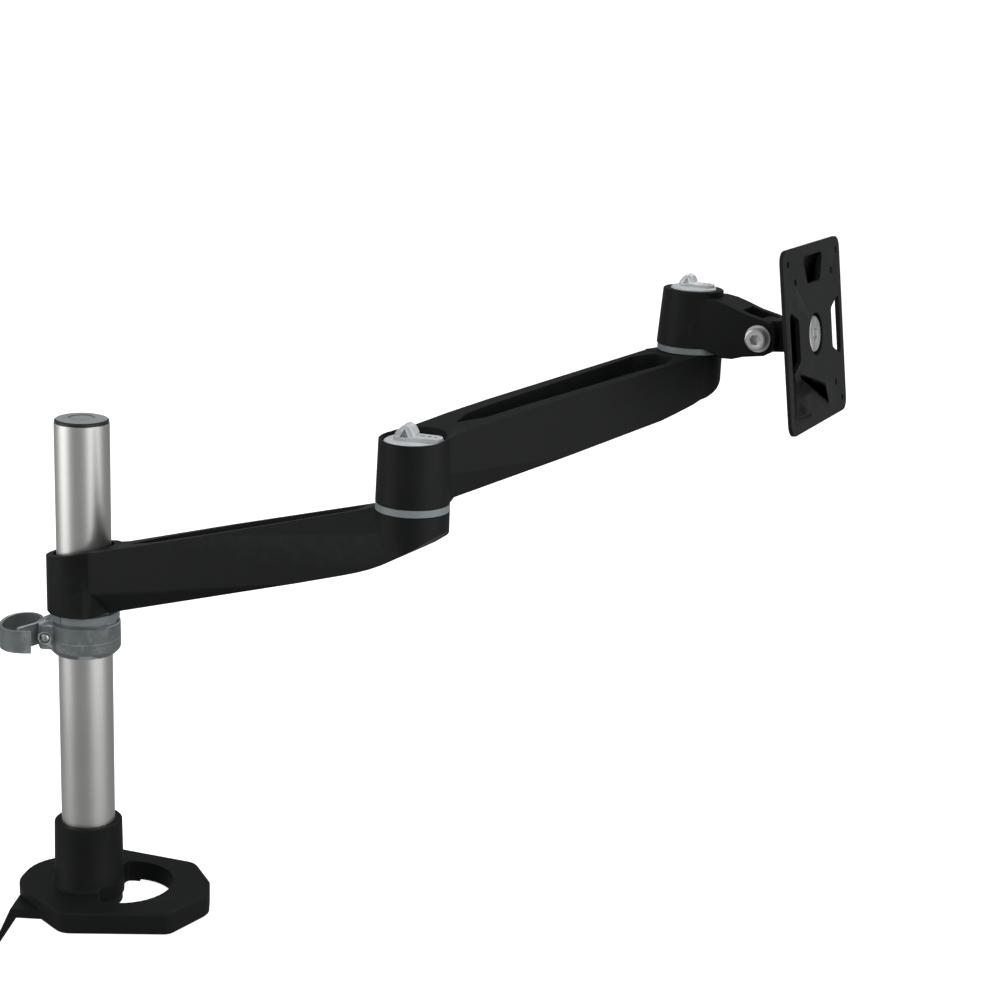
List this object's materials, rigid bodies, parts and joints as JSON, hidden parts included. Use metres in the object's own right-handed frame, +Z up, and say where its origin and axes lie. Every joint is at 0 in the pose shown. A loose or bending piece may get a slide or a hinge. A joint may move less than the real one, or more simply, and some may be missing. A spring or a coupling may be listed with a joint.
{
  "type": "monitor arm",
  "caption": "Desk-clamp monitor arm: pole with sliding height collar, two swivelling links with locking knobs, tilting and rotating head and a square display plate.",
  "frame": {"origin": "where the pole's axis meets the desk top, on the underside of the clamp bracket's top plate", "axes": "+Z up along the pole; +X along the base towards its cable hole, away from the desk's clamped edge; +Y to the left of that"},
  "size_m": [0.5565, 0.2335, 0.5981],
  "materials": {
    "arm_black": "satin black powder coat on die-cast aluminium",
    "clamp_black": "satin black painted steel",
    "plate_black": "satin black painted steel sheet",
    "pole_aluminium": "satin, turned",
    "collar_grey": "satin grey moulded plastic",
    "ring_grey": "satin grey moulded plastic",
    "knob_grey": "satin light grey moulded plastic",
    "handle_black": "satin black moulded plastic",
    "bright_steel": "bright zinc-plated steel",
    "rubber_black": "matt"
  },
  "bodies": {
    "stand": {"base_cover": "arm_black", "base_pad": "rubber_black", "clamp_bracket": "clamp_black", "cover_screw_1": "bright_steel", "cover_screw_2": "bright_steel", "pole_tube": "pole_aluminium", "pole_cap": "ring_grey", "pole_spigot": "bright_steel", "pole_screw_1": "bright_steel", "pole_screw_2": "bright_steel", "pole_screw_3": "bright_steel", "jaw_nut": "bright_steel"},
    "clamp_foot": {"clamp_pad_rubber": "rubber_black", "clamp_pad": "clamp_black"},
    "clamp_spindle": {"clamp_screw": "bright_steel", "clamp_handle": "handle_black"},
    "collar": {"height_collar": "collar_grey", "collar_bolt": "bright_steel", "collar_nut": "bright_steel", "thrust_ring": "ring_grey"},
    "lower_arm": {"lower_link": "arm_black", "pole_sleeve": "collar_grey", "elbow_ring": "ring_grey", "elbow_pin": "bright_steel"},
    "upper_arm": {"upper_link": "arm_black", "elbow_bush": "collar_grey", "wrist_ring": "ring_grey", "wrist_pin": "bright_steel"},
    "elbow_lock": {"elbow_knob": "knob_grey"},
    "head": {"head_body": "arm_black", "wrist_bush": "collar_grey", "tilt_bolt": "bright_steel", "tilt_washer_front": "bright_steel", "tilt_washer_back": "bright_steel", "tilt_nut": "bright_steel"},
    "wrist_lock": {"wrist_knob": "knob_grey"},
    "tilt_head": {"tilt_bracket": "arm_black", "friction_disc": "ring_grey", "rotation_bolt": "bright_steel"},
    "plate": {"display_plate": "plate_black"}
  },
  "joints": [
    {"name": "clamp_travel", "type": "slide", "parent": "stand", "child": "clamp_foot", "axis": [0, 0, 1], "range_m": [-0.0385, 0.0123]},
    {"name": "clamp_turn", "type": "hinge", "parent": "clamp_foot", "child": "clamp_spindle", "pos_m": [0, 0, -0.1], "axis": [0, 0, 1], "range_deg": [-4625, 1480]},
    {"name": "height_slide", "type": "slide", "parent": "stand", "child": "collar", "axis": [0, 0, 1], "range_m": [-0.115, 0.07]},
    {"name": "lower_swivel", "type": "hinge", "parent": "collar", "child": "lower_arm", "pos_m": [0, 0, 0.23], "axis": [0, 0, 1], "range_deg": [-180, 180]},
    {"name": "elbow_swivel", "type": "hinge", "parent": "lower_arm", "child": "upper_arm", "pos_m": [0.22397, -0.1032, 0.32], "axis": [0, 0, 1], "range_deg": [-205, 60]},
    {"name": "elbow_knob_turn", "type": "hinge", "parent": "upper_arm", "child": "elbow_lock", "pos_m": [0.22397, -0.1032, 0.32], "axis": [0, 0, 1], "range_deg": [-120, 120]},
    {"name": "wrist_swivel", "type": "hinge", "parent": "upper_arm", "child": "head", "pos_m": [0.38853, 0.08353, 0.4], "axis": [0, 0, 1], "range_deg": [-45, 170]},
    {"name": "wrist_knob_turn", "type": "hinge", "parent": "head", "child": "wrist_lock", "pos_m": [0.38853, 0.08353, 0.4], "axis": [0, 0, 1], "range_deg": [-120, 120]},
    {"name": "tilt", "type": "hinge", "parent": "head", "child": "tilt_head", "pos_m": [0.43839, 0.06278, 0.405], "axis": [0.3843, 0.9232, 0], "range_deg": [-17, 23]},
    {"name": "plate_rotation", "type": "hinge", "parent": "tilt_head", "child": "plate", "pos_m": [0.43839, 0.06278, 0.405], "axis": [0.9142, -0.3806, 0.1392], "range_deg": [-90, 90]}
  ],
  "couplings": [
    {"joint": "clamp_turn", "follows": "clamp_travel", "rad_per_m": 2094.4}
  ]
}
